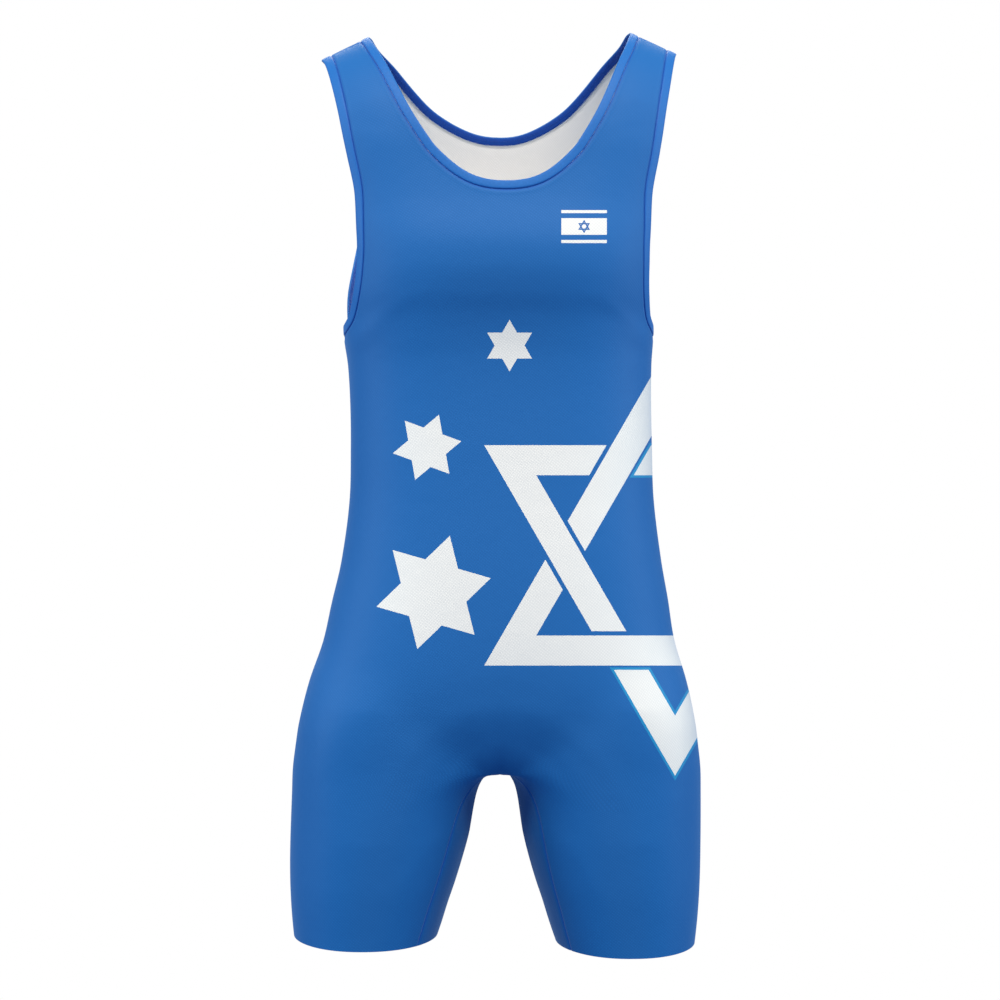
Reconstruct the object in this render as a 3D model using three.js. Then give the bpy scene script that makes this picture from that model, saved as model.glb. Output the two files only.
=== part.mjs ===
// Wrestling singlet in stretch knit, hollow and filled out as when it is worn.
// Millimetres, +Z up. The front faces -Y and the wearer's left side is +X. The origin lies midway
// between the shoulders, at the height where the two straps rest on them.
import * as THREE from "three";
import { mergeVertices } from "three/addons/utils/BufferGeometryUtils.js";

// Driving dimensions

const CLOTH = 1.2; // wall of a panel
const SEAM_GAP = 0.3; // between two panels along a seam
const BAND_GAP = 0.34; // between a panel and the band along its edge
const NECK_BAND_WIDTH = 8.3;
const ARMHOLE_BAND_WIDTH = 9.5;
const BAND_RISE = 0.45; // how far a folded band stands out over the panel beside it
const BAND_THICKNESS = 2.1;
const BAND_EDGE = 0.9; // rounding of a band's long edges

const SHOULDER_BASE = -110; // height at which the panels start to turn over the shoulders
const SHOULDER_REACH = 110; // rate of that turn: one radian for each such length of level
const CREST = SHOULDER_BASE + SHOULDER_REACH * (Math.PI / 2); // level of the top of the shoulders
const CREST_SETBACK = 6; // the crest lies this far behind the side seams
const ROOF_TOP = 78.5; // shoulder slope: height where its two flanks would meet
const ROOF_FALL = 0.49; // fall of each flank for each millimetre outwards
const ROOF_ROUND = 50; // rounding of the flanks towards the neck
const ROOF_TILT = 0.026; // the wearer's left shoulder stands a little higher

const UNDERARM = -274; // level of the armhole seam at the side
const HIP = -580; // below it the body starts to part into two legs
const CROTCH = -682;
const THIGH = -706; // from here down the leg is a plain ring
const HEM = { left: -838.5, right: -847 }; // as seen from the front
const HEM_DIP = 2.6; // the legs are cut this much longer at the front
const LEG_MIDDLE = 103; // middle of a leg from the body's middle, at the crotch
const LEG_SQUARE = 2.2; // exponent of a leg's ring
const INSEAM_TURN = { crotch: 141, left: 134, right: 145 }; // inner leg seam, degrees from the side

const NECK_CORNER = 40.5; // turn of the strap's inner edge at the shoulder seam, degrees
const BACK_NECK_SHIFT = 0.8; // the back neckline sits a little to the wearer's left, degrees
const STRAP_ROOT = 31.5; // turn at the underarm level of the line that runs up into that corner

// The body's rings. Square is the exponent of a ring: 2 is an ellipse, more is squarer. Above
// SHOULDER_BASE the level runs on over the shoulder, up to CREST.
const BODY = table(["level", "halfWidth", "front", "back", "square"], [
  [-682, 192.9, 99, 111, 3.0],
  [-660, 190.4, 101, 115, 2.9],
  [-638, 187.2, 103, 118, 2.8],
  [-600, 178.4, 104.5, 118, 2.6],
  [-562, 166.2, 105, 112, 2.5],
  [-524, 159.0, 104, 102, 2.4],
  [-486, 151.3, 102, 91, 2.4],
  [-429, 144.0, 98, 80, 2.4],
  [-380, 142.6, 95.5, 78, 2.4],
  [-334, 142.5, 94, 83, 2.4],
  [-300, 143.8, 95, 89, 2.4],
  [-278, 146.2, 98, 93, 2.4],
  [-260, 146.6, 102, 96, 2.4],
  [-238, 149.0, 108.5, 100, 2.4],
  [-215, 150.3, 112.5, 103, 2.4],
  [-190, 153.0, 111.5, 105, 2.4],
  [-150, 161.0, 102, 107, 2.4],
  [-110, 171.0, 96, 105, 2.4],
  [-60, 179.0, 93, 101, 2.4],
  [0, 186.0, 90, 96, 2.4],
  [63, 190.0, 86, 90, 2.4],
]);

// The legs' rings, measured from the body's middle, and how they run on into the body.
const LEG = table(["level", "outer", "inner", "front", "back"], [
  [-850, 189.0, 58.5, 82, 82],
  [-828, 191.4, 50.9, 84, 84.5],
  [-809, 192.9, 45.0, 86, 87],
  [-790, 193.8, 38.5, 88, 89.5],
  [-771, 194.2, 32.7, 89.5, 92],
  [-752, 194.2, 27.5, 91, 95],
  [-733, 194.0, 23.2, 92.5, 98],
  [-706, 193.5, 18.6, 95, 102],
  [-682, 192.9, 15.0, 97, 106],
  [-660, 190.4, 12, 98.7, 109],
  [-638, 187.2, 9, 100.4, 112],
  [-600, 178.4, 4, 103, 115],
  [-562, 166.2, 0, 104.5, 114],
]);

// How far the body's middle stands off the plane X = 0, as it is worn.
const SWAY = table(["level", "offset"], [
  [-850, -3.3],
  [-771, -2.9],
  [-700, -1.7],
  [-638, -1.2],
  [-562, 0.4],
  [-486, 2.8],
  [-380, 2.8],
  [-310, 1.5],
  [-262, 0],
  [-200, 2.2],
  [-60, 1.5],
  [63, 0.8],
]);

// Seams of the bands. The turn runs round the body from the front's middle, in degrees.
const FRONT_NECK = table(["turn", "level"], [
  [0, -147.3],
  [7.5, -142.6],
  [14.3, -129.4],
  [21.8, -105.7],
  [27.4, -83],
  [31.4, -60],
  [34.7, -35],
  [38, -5],
  [NECK_CORNER, 34],
]);
const BACK_NECK = table(["turn", "level"], [
  [0, -87.6],
  [7.9, -82.6],
  [17.7, -66.8],
  [24.2, -48.1],
  [30.6, -21],
  [37.2, 16],
  [39.6, 58],
  [NECK_CORNER, 2 * CREST - 34],
]);
const ARMHOLE = table(["turn", "level"], [
  [55, 45],
  [53.6, 5],
  [52.3, -36],
  [50.8, -80],
  [49.9, -137],
  [54, -182],
  [56.6, -212],
  [59, -236],
  [62.8, -252],
  [68.4, -264],
  [78, -271.5],
  [90, UNDERARM],
  [101, -271.5],
  [108, -263],
  [109.8, -248],
  [112.5, -228],
  [118.5, -205],
  [125.5, -180],
  [132.5, -145],
  [134.5, -105],
  [133, -60],
  [129, 0],
  [125.8, 50],
  [125, 2 * CREST - 45],
]);

// Mesh steps
const STEPS = {
  neck: 8, // cells from the middle to the strap
  strap: 7, // cells across the strap and the side
  chest: 15, // rows from the underarm to the shoulder
  waist: 8,
  seat: 6,
  fork: 4,
  leg: 4,
  gusset: 6, // cells round the inner thigh
};
const ROW_CROWDING = 1.25; // chest rows stand closer near the underarm
const ROW_SAG = 1.8; // and leave the armhole nearly level
const COLUMN_BEND = 1.6; // while the columns reach the neckline nearly upright
const TURN_LENGTH = 2.4; // millimetres that count as one degree of turn when a seam is spaced out
const WELD = 0.001; // skin points closer than this are one

const DEGREE = Math.PI / 180;
const BODY_KNIT = new THREE.MeshStandardMaterial({ color: 0x2667ac, roughness: 0.62, metalness: 0 });
const BAND_KNIT = new THREE.MeshStandardMaterial({ color: 0x2f6fb2, roughness: 0.58, metalness: 0 });

// Tables and smooth curves

function table(columns, rows) {
  return Object.fromEntries(columns.map((name, i) => [name, rows.map((row) => row[i])]));
}

// The value at s on a smooth curve through the values at the rising knots.
function smooth(knots, values, s) {
  const last = knots.length - 1;
  let i = 0;
  while (i < last - 1 && s > knots[i + 1]) i++;
  const slope = (k) => {
    const before = Math.max(k - 1, 0);
    const after = Math.min(k + 1, last);
    return (values[after] - values[before]) / (knots[after] - knots[before]);
  };
  const span = knots[i + 1] - knots[i];
  const t = (s - knots[i]) / span;
  const u = 1 - t;
  return (
    u * u * (1 + 2 * t) * values[i] +
    t * t * (1 + 2 * u) * values[i + 1] +
    t * u * u * span * slope(i) -
    t * t * u * span * slope(i + 1)
  );
}

const ringAt = (level, column) => smooth(BODY.level, BODY[column], level);
const legAt = (level, column) => smooth(LEG.level, LEG[column], level);
const swayAt = (level) => smooth(SWAY.level, SWAY.offset, level);
const mix = (a, b, t) => a + (b - a) * t;
const ease = (t) => t * t * (3 - 2 * t);
const clamp01 = (t) => Math.min(Math.max(t, 0), 1);
const power = (value, exponent) => Math.sign(value) * Math.abs(value) ** exponent;
const range = (count) => Array.from({ length: count + 1 }, (_, i) => i / count);

// A seam as a curve in turn and level: its length, and its point at a distance along it.
function seam(rows) {
  const knots = [0];
  for (let i = 1; i < rows.turn.length; i++) {
    const across = (rows.turn[i] - rows.turn[i - 1]) * TURN_LENGTH;
    knots.push(knots[i - 1] + Math.hypot(across, rows.level[i] - rows.level[i - 1]));
  }
  return {
    knots,
    length: knots.at(-1),
    at: (s) => [smooth(knots, rows.turn, s), smooth(knots, rows.level, s)],
  };
}

// A neckline: its point at -1 and 1 is at a shoulder seam, and at 0 in the middle, which may sit
// some degrees to one side.
function neckSeam(rows, shift) {
  const both = {
    turn: [...rows.turn.slice(1).map((t) => -t).reverse(), ...rows.turn],
    level: [...rows.level.slice(1).reverse(), ...rows.level],
  };
  const curve = seam(both);
  return (fraction) => {
    const [turn, level] = curve.at((curve.length / 2) * (1 + fraction));
    return [turn + shift * (1 - fraction ** 2), level];
  };
}

const frontNeck = neckSeam(FRONT_NECK, 0);
const backNeck = neckSeam(BACK_NECK, BACK_NECK_SHIFT);
const armholeCurve = seam(ARMHOLE);
const underarmAt = armholeCurve.knots[ARMHOLE.turn.indexOf(90)];

// The armhole seam from the underarm (0) up to the shoulder seam (1), in front or at the back.
// The turn is counted from the middle of that face.
function armhole(back, fraction) {
  const end = back ? armholeCurve.length : 0;
  const [turn, level] = armholeCurve.at(mix(underarmAt, end, fraction));
  return [back ? 180 - turn : turn, level];
}

// Places along half an armhole seam where rows end, closer near the underarm.
const armholeFractions = () => range(STEPS.chest).map((v) => v ** ROW_CROWDING);

// The worn form

const roofAt = (x) => ROOF_TOP + ROOF_TILT * x - ROOF_FALL * Math.hypot(x, ROOF_ROUND);

// A point of the body at a turn round it (0 front, 90 the wearer's left, 180 back) and a level.
// Past CREST the level runs down the other face.
function bodyPoint(turn, level) {
  const mirrored = level > CREST ? 2 * CREST - level : level;
  const tip = Math.max(level - SHOULDER_BASE, 0) / SHOULDER_REACH;
  const facing = Math.cos(turn * DEGREE) * Math.cos(tip);
  const depth = ringAt(mirrored, facing > 0 ? "front" : "back");
  const swell = 2 / ringAt(mirrored, "square");
  const across = power(Math.sin(turn * DEGREE), swell);
  const along = power(Math.cos(turn * DEGREE), swell) * Math.cos(tip);
  const x = ringAt(mirrored, "halfWidth") * across;
  const z = tip > 0 ? mix(SHOULDER_BASE, roofAt(x), Math.sin(tip)) : level;
  const y = CREST_SETBACK * Math.sin(tip) ** 2 - depth * along;
  return new THREE.Vector3(x + swayAt(mirrored), y, z);
}

// A point of a leg's ring. Theta is 0 at the outer side, 90 in front, 180 at the inner thigh and
// 270 at the back. Side is 1 on the wearer's left. Opening is 0 at the crotch, where the inner
// thighs of both legs meet in one line, and 1 where the leg is a ring of its own.
function legPoint(side, theta, level, opening) {
  const cosine = Math.cos(theta * DEGREE);
  const flat = Math.cos(INSEAM_TURN.crotch * DEGREE);
  const swell = 2 / LEG_SQUARE;
  const [outer, inner] = [legAt(level, "outer"), legAt(level, "inner")];
  const closed =
    cosine > 0
      ? mix(LEG_MIDDLE, outer, cosine ** swell)
      : LEG_MIDDLE * (1 - Math.min(cosine / flat, 1) ** swell);
  const open = (outer + inner) / 2 + ((outer - inner) / 2) * power(cosine, swell);
  const lift = power(Math.sin(theta * DEGREE), swell);
  const depth = legAt(level, lift > 0 ? "front" : "back");
  const x = side * mix(closed, open, opening) + swayAt(level);
  return new THREE.Vector3(x, -depth * lift, level);
}

// How much a place on a leg's ring belongs to the arch between the legs: 0 as far as the front or
// the back of the thigh, and 1 at the inner leg seams.
function archAt(theta) {
  const fromSide = Math.acos(Math.cos(theta * DEGREE)) / DEGREE;
  return ease(clamp01((fromSide - 90) / (INSEAM_TURN.crotch - 90)));
}

// The body's lower end: below HIP each ring is drawn in between the legs. Share is 0 at the side
// seam and 1 at the middle, and gamma turns from 0 at HIP to 90 degrees at the crotch.
function seatPoint(side, back, share, gamma) {
  const even = gamma / (Math.PI / 2);
  const theta = share * INSEAM_TURN.crotch;
  const arch = archAt(theta);
  const level = mix(HIP, CROTCH, mix(even, Math.sin(gamma), arch));
  const turn = (1 - share) * 90;
  const torso = bodyPoint(side * (back ? 180 - turn : turn), level);
  const thigh = legPoint(side, back ? 360 - theta : theta, level, 0);
  return torso.lerp(thigh, mix(ease(even), 1 - Math.cos(gamma), arch));
}

// The inner leg seam's place on a leg's ring.
function inseamTurn(side, level) {
  const hem = side > 0 ? "right" : "left";
  const fall = clamp01((CROTCH - level) / (CROTCH - HEM[hem]));
  return mix(INSEAM_TURN.crotch, INSEAM_TURN[hem], fall);
}

// Between the crotch and THIGH the inner thighs round over like an arch. Place is what the caller
// runs along: it gives theta at a level. Beta turns from 0 at the crotch to 90 degrees at THIGH.
function forkPoint(side, place, beta) {
  const even = beta / (Math.PI / 2);
  const level = mix(CROTCH, THIGH, even);
  const theta = place(level);
  const arch = archAt(theta);
  const drop = mix(even, 1 - Math.cos(beta), arch);
  return legPoint(side, theta, mix(CROTCH, THIGH, drop), mix(ease(even), Math.sin(beta), arch));
}

// Panels

// Triangles of a grid of points, turned to face out where the rows fall and the columns run to +X
// on the front.
function gridTriangles(rows, flip) {
  const triangles = [];
  for (let i = 0; i + 1 < rows.length; i++) {
    for (let j = 0; j + 1 < rows[i].length; j++) {
      const [a, b] = [rows[i][j], rows[i][j + 1]];
      const [c, d] = [rows[i + 1][j], rows[i + 1][j + 1]];
      for (const face of [[a, c, b], [b, c, d]]) {
        triangles.push(flip ? [face[0], face[2], face[1]] : face);
      }
    }
  }
  return triangles;
}

// Shares across half a panel, 0 at the side seam and 1 at the middle, with the strap's root between.
function halfShares() {
  const root = 1 - STRAP_ROOT / 90;
  const strap = range(STEPS.strap).map((t) => t * root);
  const neck = range(STEPS.neck).slice(1).map((t) => mix(root, 1, t));
  return [...strap, ...neck];
}

// Rows of one half of a panel above the underarm, from the shoulder down.
function chestRows(side, back) {
  const neck = back ? backNeck : frontNeck;
  const corner = neck(side);
  const faceTurn = (turn) => (back ? 180 - turn : turn);
  const ends = armholeFractions();
  return range(STEPS.chest).map((v, row) => {
    const [armTurn, armLevel] = armhole(back, ends[row]);
    const upright = 1 - (1 - v) ** COLUMN_BEND;
    const root = [mix(side * STRAP_ROOT, corner[0], upright), mix(UNDERARM, corner[1], v)];
    const strap = range(STEPS.strap).map((t) =>
      bodyPoint(faceTurn(mix(side * armTurn, root[0], t)), mix(armLevel, root[1], t ** ROW_SAG)),
    );
    const middle = range(STEPS.neck).slice(1).map((t) => {
      const [turn, level] = neck(side * (1 - t));
      const foot = side * STRAP_ROOT * (1 - t);
      return bodyPoint(faceTurn(mix(foot, turn, upright)), mix(UNDERARM, level, v));
    });
    return [...strap, ...middle];
  }).reverse();
}

// Rows of one half of a panel from the underarm down to the crotch.
function trunkRows(side, back) {
  const shares = halfShares();
  const faceTurn = (turn) => (back ? 180 - turn : turn);
  const waist = range(STEPS.waist).map((v) =>
    shares.map((share) =>
      bodyPoint(faceTurn(side * (1 - share) * 90), mix(UNDERARM, HIP, v)),
    ),
  );
  const seat = range(STEPS.seat).slice(1).map((v) =>
    shares.map((share) => seatPoint(side, back, share, (v * Math.PI) / 2)),
  );
  return [...waist, ...seat];
}

// Rows of one leg, between two places on its ring, each given as theta at a level.
function legRows(side, shares, from, to) {
  const hem = side > 0 ? HEM.right : HEM.left;
  const dip = (theta) => HEM_DIP * Math.max(Math.sin(theta * DEGREE), 0) ** 2;
  const place = (share) => (level) => mix(from(level), to(level), share);
  const fork = range(STEPS.fork).map((v) =>
    shares.map((share) => forkPoint(side, place(share), (v * Math.PI) / 2)),
  );
  const tube = range(STEPS.leg).slice(1).map((v) =>
    shares.map((share) => {
      const theta = place(share)(mix(THIGH, hem, v));
      return legPoint(side, theta, mix(THIGH, hem - dip(theta), v), 1);
    }),
  );
  return [...fork, ...tube];
}

// The skin of the front or the back panel as triangles.
function panelTriangles(back) {
  const triangles = [];
  const add = (rows, flip) => triangles.push(...gridTriangles(rows, flip));
  for (const side of [-1, 1]) {
    const flip = side > 0 !== back;
    const inseam = (level) => inseamTurn(side, level);
    add(chestRows(side, back), flip);
    add(trunkRows(side, back), flip);
    if (back) {
      const backTurn = 360 - INSEAM_TURN.crotch;
      add(legRows(side, halfShares(), () => 360, () => backTurn), flip);
      add(legRows(side, range(STEPS.gusset), () => backTurn, inseam), flip);
    } else {
      add(legRows(side, halfShares(), () => 0, inseam), flip);
    }
  }
  return triangles;
}

// Boundary edges of an indexed skin, as the next vertex after each one on the rim.
function rimOf(index) {
  const rim = new Map();
  const used = new Set();
  for (let i = 0; i < index.length; i += 3) {
    for (let k = 0; k < 3; k++) used.add(`${index[i + k]} ${index[i + ((k + 1) % 3)]}`);
  }
  for (const edge of used) {
    const [a, b] = edge.split(" ").map(Number);
    if (!used.has(`${b} ${a}`)) rim.set(a, b);
  }
  return rim;
}

// A cloth wall over some faces of the skin: they are its outer side, its rim is drawn in by half a
// seam gap, and a second side lies one wall thickness inside.
function clothWall(skin, triangles) {
  const faces = [];
  for (let i = 0; i < triangles.length; i += 3) {
    const face = triangles.slice(i, i + 3);
    if (new Set(face).size === 3) faces.push(...face);
  }
  const used = [...new Set(faces)];
  const place = new Map(used.map((vertex, i) => [vertex, i]));
  const outside = faces.map((vertex) => place.get(vertex));
  const { position, normal } = skin.attributes;
  const points = used.map((i) => new THREE.Vector3().fromBufferAttribute(position, i));
  const normals = used.map((i) => new THREE.Vector3().fromBufferAttribute(normal, i));
  const rim = rimOf(outside);
  const before = new Map([...rim].map(([a, b]) => [b, a]));
  const outer = points.map((p, i) => {
    if (!rim.has(i)) return p;
    const alongRim = points[rim.get(i)].clone().sub(points[before.get(i)]);
    const inward = normals[i].clone().cross(alongRim).normalize();
    return p.clone().addScaledVector(inward, SEAM_GAP / 2);
  });
  const inner = outer.map((p, i) => p.clone().addScaledVector(normals[i], -CLOTH));
  const count = points.length;
  const walls = [...outside];
  for (let i = 0; i < outside.length; i += 3) {
    walls.push(outside[i] + count, outside[i + 2] + count, outside[i + 1] + count);
  }
  for (const [a, b] of rim) walls.push(b, a, a + count, b, a + count, b + count);
  return solidGeometry([...outer, ...inner], walls);
}

// The skin of both panels in one, so that they share its normals along their seams.
function wholeSkin(triangles) {
  const corners = new THREE.Float32BufferAttribute(triangles.flat().flatMap((p) => p.toArray()), 3);
  const skin = mergeVertices(new THREE.BufferGeometry().setAttribute("position", corners), WELD);
  skin.computeVertexNormals();
  return skin;
}

// The skin's normal at the vertex that lies nearest to a place.
function normalNear(skin, place) {
  const { position, normal } = skin.attributes;
  const vertex = new THREE.Vector3();
  let nearest = Infinity;
  let found = 0;
  for (let i = 0; i < position.count; i++) {
    const distance = vertex.fromBufferAttribute(position, i).distanceToSquared(place);
    if (distance < nearest) [nearest, found] = [distance, i];
  }
  return new THREE.Vector3().fromBufferAttribute(normal, found);
}

function solidGeometry(points, faces) {
  const geometry = new THREE.BufferGeometry();
  const values = points.flatMap((p) => p.toArray());
  geometry.setAttribute("position", new THREE.Float32BufferAttribute(values, 3));
  geometry.setIndex(faces);
  geometry.computeVertexNormals();
  return geometry;
}

// Bands

// A band's section: how far out from the seam, and how high over the panel's outer face.
function bandSection(width) {
  const low = BAND_RISE - BAND_THICKNESS;
  const start = BAND_GAP - SEAM_GAP / 2;
  return [
    [start, 0],
    [start + BAND_EDGE, BAND_RISE],
    [width - BAND_EDGE, BAND_RISE],
    [width, BAND_RISE - BAND_EDGE],
    [width, low + BAND_EDGE],
    [width - BAND_EDGE, low],
    [start + BAND_EDGE, low],
    [start, -CLOTH],
  ];
}

// Frames along a closed seam, given as turns and levels with the opening on the left of the way
// they run, seen from outside.
function seamFrames(skin, stations) {
  const places = stations.map(([turn, level]) => bodyPoint(turn, level));
  return places.map((place, i) => {
    const next = places[(i + 1) % places.length];
    const last = places.at(i - 1);
    const normal = normalNear(skin, place);
    const along = next.clone().sub(last).normalize();
    return { place, normal, along, outward: normal.clone().cross(along).normalize() };
  });
}

// A folded band over frames of its seam: a ring, or a strip with its ends clear of the next one.
function band(frames, width, closed) {
  const section = bandSection(width);
  const last = frames.length - 1;
  const points = frames.flatMap(({ place, normal, along, outward }, i) => {
    const inset = closed ? 0 : (Number(i === 0) - Number(i === last)) * (SEAM_GAP / 2);
    return section.map(([out, high]) =>
      place.clone()
        .addScaledVector(outward, out)
        .addScaledVector(normal, high)
        .addScaledVector(along, inset),
    );
  });
  const size = section.length;
  const faces = [];
  for (let i = 0; i < (closed ? last + 1 : last); i++) {
    for (let k = 0; k < size; k++) {
      const [a, b] = [i * size + k, i * size + ((k + 1) % size)];
      const [c, d] = [a, b].map((n) => (n + size) % points.length);
      faces.push(a, c, b, b, c, d);
    }
  }
  if (!closed) {
    const end = last * size;
    for (let k = 1; k + 1 < size; k++) faces.push(0, k, k + 1, end, end + k + 1, end + k);
  }
  return solidGeometry(points, faces);
}

// The armhole band is one ring: down the front edge and up the back edge, over the shoulder.
function armholeBand(skin, side) {
  const front = armholeFractions().reverse().map((v) => armhole(false, v));
  const back = armholeFractions().slice(1, -1).map((v) => armhole(true, v));
  const stations = [...front, ...back.map(([turn, level]) => [180 - turn, level])];
  const placed = stations.map(([turn, level]) => [side * turn, level]);
  const frames = seamFrames(skin, side > 0 ? placed : placed.reverse());
  return band(frames, ARMHOLE_BAND_WIDTH, true);
}

// The neck bands are the front and the back stretch of one ring, parted at the shoulder seams.
function neckBands(skin) {
  const across = range(2 * STEPS.neck).map((t) => 2 * t - 1);
  const front = across.map((fraction) => frontNeck(fraction));
  const back = across.reverse().slice(1, -1).map((fraction) => backNeck(fraction));
  const ring = seamFrames(skin, [...front, ...back.map(([turn, level]) => [180 - turn, level])]);
  const seamPlace = front.length - 1;
  return {
    front: band(ring.slice(0, seamPlace + 1), NECK_BAND_WIDTH, false),
    back: band([...ring.slice(seamPlace), ring[0]], NECK_BAND_WIDTH, false),
  };
}

// The garment

const frontTriangles = panelTriangles(false);
const skin = wholeSkin([...frontTriangles, ...panelTriangles(true)]);
const corners = [...skin.index.array];
const firstOfBack = frontTriangles.length * 3;
const neckline = neckBands(skin);
const pieces = {
  front_panel: [clothWall(skin, corners.slice(0, firstOfBack)), BODY_KNIT],
  back_panel: [clothWall(skin, corners.slice(firstOfBack)), BODY_KNIT],
  neck_band_front: [neckline.front, BAND_KNIT],
  neck_band_back: [neckline.back, BAND_KNIT],
  armhole_band_right: [armholeBand(skin, -1), BAND_KNIT],
  armhole_band_left: [armholeBand(skin, 1), BAND_KNIT],
};

const singlet = new THREE.Group();
for (const [name, [geometry, material]] of Object.entries(pieces)) {
  const mesh = new THREE.Mesh(geometry, material);
  mesh.name = name;
  singlet.add(mesh);
}

export default singlet;
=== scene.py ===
"""A wrestling singlet in stretch knit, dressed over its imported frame. Run as a script."""

import math

import bpy
import numpy as np
from bpy.props import FloatProperty, FloatVectorProperty, IntProperty, PointerProperty
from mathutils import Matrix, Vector
from mathutils.kdtree import KDTree


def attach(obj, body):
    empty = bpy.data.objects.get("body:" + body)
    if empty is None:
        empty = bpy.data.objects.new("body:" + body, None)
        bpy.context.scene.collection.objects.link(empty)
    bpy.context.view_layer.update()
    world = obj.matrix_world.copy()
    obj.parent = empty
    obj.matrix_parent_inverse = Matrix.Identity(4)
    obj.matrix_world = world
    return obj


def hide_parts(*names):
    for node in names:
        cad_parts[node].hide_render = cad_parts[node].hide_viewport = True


bl_info = {
    "name": "Wrestling singlet",
    "version": (1, 0, 0),
    "blender": (4, 5, 0),
    "location": "3D Viewport > Sidebar > Singlet",
    "description": "Knit panels, folded bands, seam stitches and studio of a wrestling singlet",
    "category": "Object",
}

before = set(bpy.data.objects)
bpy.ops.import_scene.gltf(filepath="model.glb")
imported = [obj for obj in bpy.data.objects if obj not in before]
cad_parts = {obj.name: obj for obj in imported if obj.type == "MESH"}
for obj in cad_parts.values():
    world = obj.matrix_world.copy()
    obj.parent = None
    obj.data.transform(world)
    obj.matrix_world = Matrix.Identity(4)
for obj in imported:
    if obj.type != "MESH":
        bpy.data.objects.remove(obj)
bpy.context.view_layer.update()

# Shapes below are in millimetres and degrees. The front faces -Y, and +X is the wearer's left.
MM = 0.001

# How the panels turn over the shoulders: one radian for each SHOULDER_REACH of level.
SHOULDER_BASE = -110.0
SHOULDER_REACH = 110.0
CREST = SHOULDER_BASE + SHOULDER_REACH * math.pi / 2
CREST_SETBACK = 6.0
ROOF_TOP = 78.5
ROOF_FALL = 0.49
ROOF_ROUND = 50.0
ROOF_TILT = 0.026

UNDERARM = -274.0
HIP = -580.0
CROTCH = -682.0
THIGH = -706.0
HEM = {-1: -838.5, 1: -847.0}
HEM_DIP = 2.6
LEG_MIDDLE = 103.0
LEG_SQUARE = 2.2
INSEAM_TURN = {"crotch": 141.0, -1: 134.0, 1: 145.0}

NECK_CORNER = 40.5
BACK_NECK_SHIFT = 0.8
STRAP_ROOT = 31.5
ROW_CROWDING = 1.25
ROW_SAG = 1.8
COLUMN_BEND = 1.6
TURN_LENGTH = 2.4

NECK_BAND_WIDTH = 8.3
ARMHOLE_BAND_WIDTH = 9.5


def table(columns, rows):
    """A table as one array for each named column."""
    return dict(zip(columns, np.array(rows, float).T))


BODY = table(("level", "half_width", "front", "back", "square"), (
    (-682, 192.9, 99, 111, 3.0),
    (-660, 190.4, 101, 115, 2.9),
    (-638, 187.2, 103, 118, 2.8),
    (-600, 178.4, 104.5, 118, 2.6),
    (-562, 166.2, 105, 112, 2.5),
    (-524, 159.0, 104, 102, 2.4),
    (-486, 151.3, 102, 91, 2.4),
    (-429, 144.0, 98, 80, 2.4),
    (-380, 142.6, 95.5, 78, 2.4),
    (-334, 142.5, 94, 83, 2.4),
    (-300, 143.8, 95, 89, 2.4),
    (-278, 146.2, 98, 93, 2.4),
    (-260, 146.6, 102, 96, 2.4),
    (-238, 149.0, 108.5, 100, 2.4),
    (-215, 150.3, 112.5, 103, 2.4),
    (-190, 153.0, 111.5, 105, 2.4),
    (-150, 161.0, 102, 107, 2.4),
    (-110, 171.0, 96, 105, 2.4),
    (-60, 179.0, 93, 101, 2.4),
    (0, 186.0, 90, 96, 2.4),
    (63, 190.0, 86, 90, 2.4),
))
LEG = table(("level", "outer", "inner", "front", "back"), (
    (-850, 189.0, 58.5, 82, 82),
    (-828, 191.4, 50.9, 84, 84.5),
    (-809, 192.9, 45.0, 86, 87),
    (-790, 193.8, 38.5, 88, 89.5),
    (-771, 194.2, 32.7, 89.5, 92),
    (-752, 194.2, 27.5, 91, 95),
    (-733, 194.0, 23.2, 92.5, 98),
    (-706, 193.5, 18.6, 95, 102),
    (-682, 192.9, 15.0, 97, 106),
    (-660, 190.4, 12, 98.7, 109),
    (-638, 187.2, 9, 100.4, 112),
    (-600, 178.4, 4, 103, 115),
    (-562, 166.2, 0, 104.5, 114),
))
SWAY = table(("level", "offset"), (
    (-850, -3.3),
    (-771, -2.9),
    (-700, -1.7),
    (-638, -1.2),
    (-562, 0.4),
    (-486, 2.8),
    (-380, 2.8),
    (-310, 1.5),
    (-262, 0),
    (-200, 2.2),
    (-60, 1.5),
    (63, 0.8),
))
FRONT_NECK = table(("turn", "level"), (
    (0, -147.3),
    (7.5, -142.6),
    (14.3, -129.4),
    (21.8, -105.7),
    (27.4, -83),
    (31.4, -60),
    (34.7, -35),
    (38, -5),
    (NECK_CORNER, 34),
))
BACK_NECK = table(("turn", "level"), (
    (0, -87.6),
    (7.9, -82.6),
    (17.7, -66.8),
    (24.2, -48.1),
    (30.6, -21),
    (37.2, 16),
    (39.6, 58),
    (NECK_CORNER, 2 * CREST - 34),
))
ARMHOLE = table(("turn", "level"), (
    (55, 45),
    (53.6, 5),
    (52.3, -36),
    (50.8, -80),
    (49.9, -137),
    (54, -182),
    (56.6, -212),
    (59, -236),
    (62.8, -252),
    (68.4, -264),
    (78, -271.5),
    (90, UNDERARM),
    (101, -271.5),
    (108, -263),
    (109.8, -248),
    (112.5, -228),
    (118.5, -205),
    (125.5, -180),
    (132.5, -145),
    (134.5, -105),
    (133, -60),
    (129, 0),
    (125.8, 50),
    (125, 2 * CREST - 45),
))

# Grid steps of the cloth
STEPS = {"neck": 38, "strap": 34, "chest": 80, "waist": 56, "seat": 30, "fork": 16, "leg": 30,
         "gusset": 26}
NEAR_SEAM = (0.004, 0.010, 0.018)  # extra grid lines close to a seam, as shares of a side
NEAR_HEM = (0.004, 0.012)

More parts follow.
